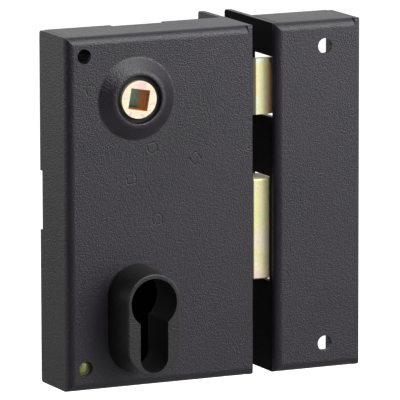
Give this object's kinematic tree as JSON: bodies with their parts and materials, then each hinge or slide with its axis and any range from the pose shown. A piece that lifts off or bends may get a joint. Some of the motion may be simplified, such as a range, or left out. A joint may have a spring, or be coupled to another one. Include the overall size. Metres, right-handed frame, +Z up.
{
  "type": "door lock",
  "caption": "Surface-mounted door lock for a profile cylinder: folded black case with a spring latch, a square dead bolt and a separate box keeper.",
  "frame": {"origin": "where the spindle follower's axis meets the door face", "axes": "+X from the case to the keeper, +Y into the door, +Z up"},
  "size_m": [0.1136, 0.0554, 0.125],
  "materials": {
    "black_coat": "fine-textured black powder coat",
    "plated_steel": "yellow-tinted bright zinc plating",
    "collar_coat": "satin black coat on a zinc casting",
    "black_nylon": "moulded nylon, satin",
    "spring_steel": "oiled spring steel",
    "follower_metal": "bright zinc-plated sintered steel"
  },
  "bodies": {
    "lock_case": {"case_cover": "black_coat", "forend_plate": "black_coat", "back_plate": "black_coat", "cylinder_collar": "collar_coat", "front_follower_bush": "black_nylon", "rear_follower_bush": "black_nylon", "upper_corner_spacer": "black_nylon", "lower_corner_spacer": "black_nylon", "lower_corner_pin": "plated_steel", "latch_rail_stud": "plated_steel", "detent_stud": "plated_steel", "bolt_guide_stud": "plated_steel", "lever_pivot_stud": "plated_steel", "latch_spring_post": "plated_steel", "back_plate_screws": "plated_steel", "detent_spring": "spring_steel", "latch_spring": "spring_steel"},
    "follower": {"follower_hub": "follower_metal"},
    "latch": {"latch_head": "plated_steel", "latch_tail": "plated_steel", "latch_rivets": "plated_steel"},
    "dead_bolt": {"dead_bolt_head": "plated_steel", "dead_bolt_tail": "plated_steel", "dead_bolt_rivets": "plated_steel"},
    "lever": {"key_lever": "plated_steel", "key_lever_pin": "plated_steel"},
    "keeper": {"keeper_box": "black_coat"}
  },
  "joints": [
    {"name": "follower_turn", "type": "hinge", "parent": "lock_case", "child": "follower", "pos_m": [0, 0, 0], "axis": [0, -1, 0], "range_deg": [0, 40]},
    {"name": "latch_slide", "type": "slide", "parent": "lock_case", "child": "latch", "axis": [-1, 0, 0], "range_m": [0, 0.0105], "stiffness_N_per_m": 300, "springref_m": -0.01, "deforming": ["latch_spring"]},
    {"name": "key_lever_turn", "type": "hinge", "parent": "lock_case", "child": "lever", "pos_m": [-0.017, -0.0075, -0.084], "axis": [0, -1, 0], "range_deg": [0, 10.5]},
    {"name": "dead_bolt_slide", "type": "slide", "parent": "lock_case", "child": "dead_bolt", "axis": [-1, 0, 0], "range_m": [0, 0.02], "deforming": ["detent_spring"]},
    {"name": "keeper_off", "type": "slide", "parent": "lock_case", "child": "keeper", "axis": [1, 0, 0], "range_m": [0, 0.03]}
  ],
  "couplings": [
    {"joint": "follower_turn", "follows": "latch_slide", "rad_per_m": 66.48},
    {"joint": "key_lever_turn", "follows": "latch_slide", "rad_per_m": 17.45}
  ]
}
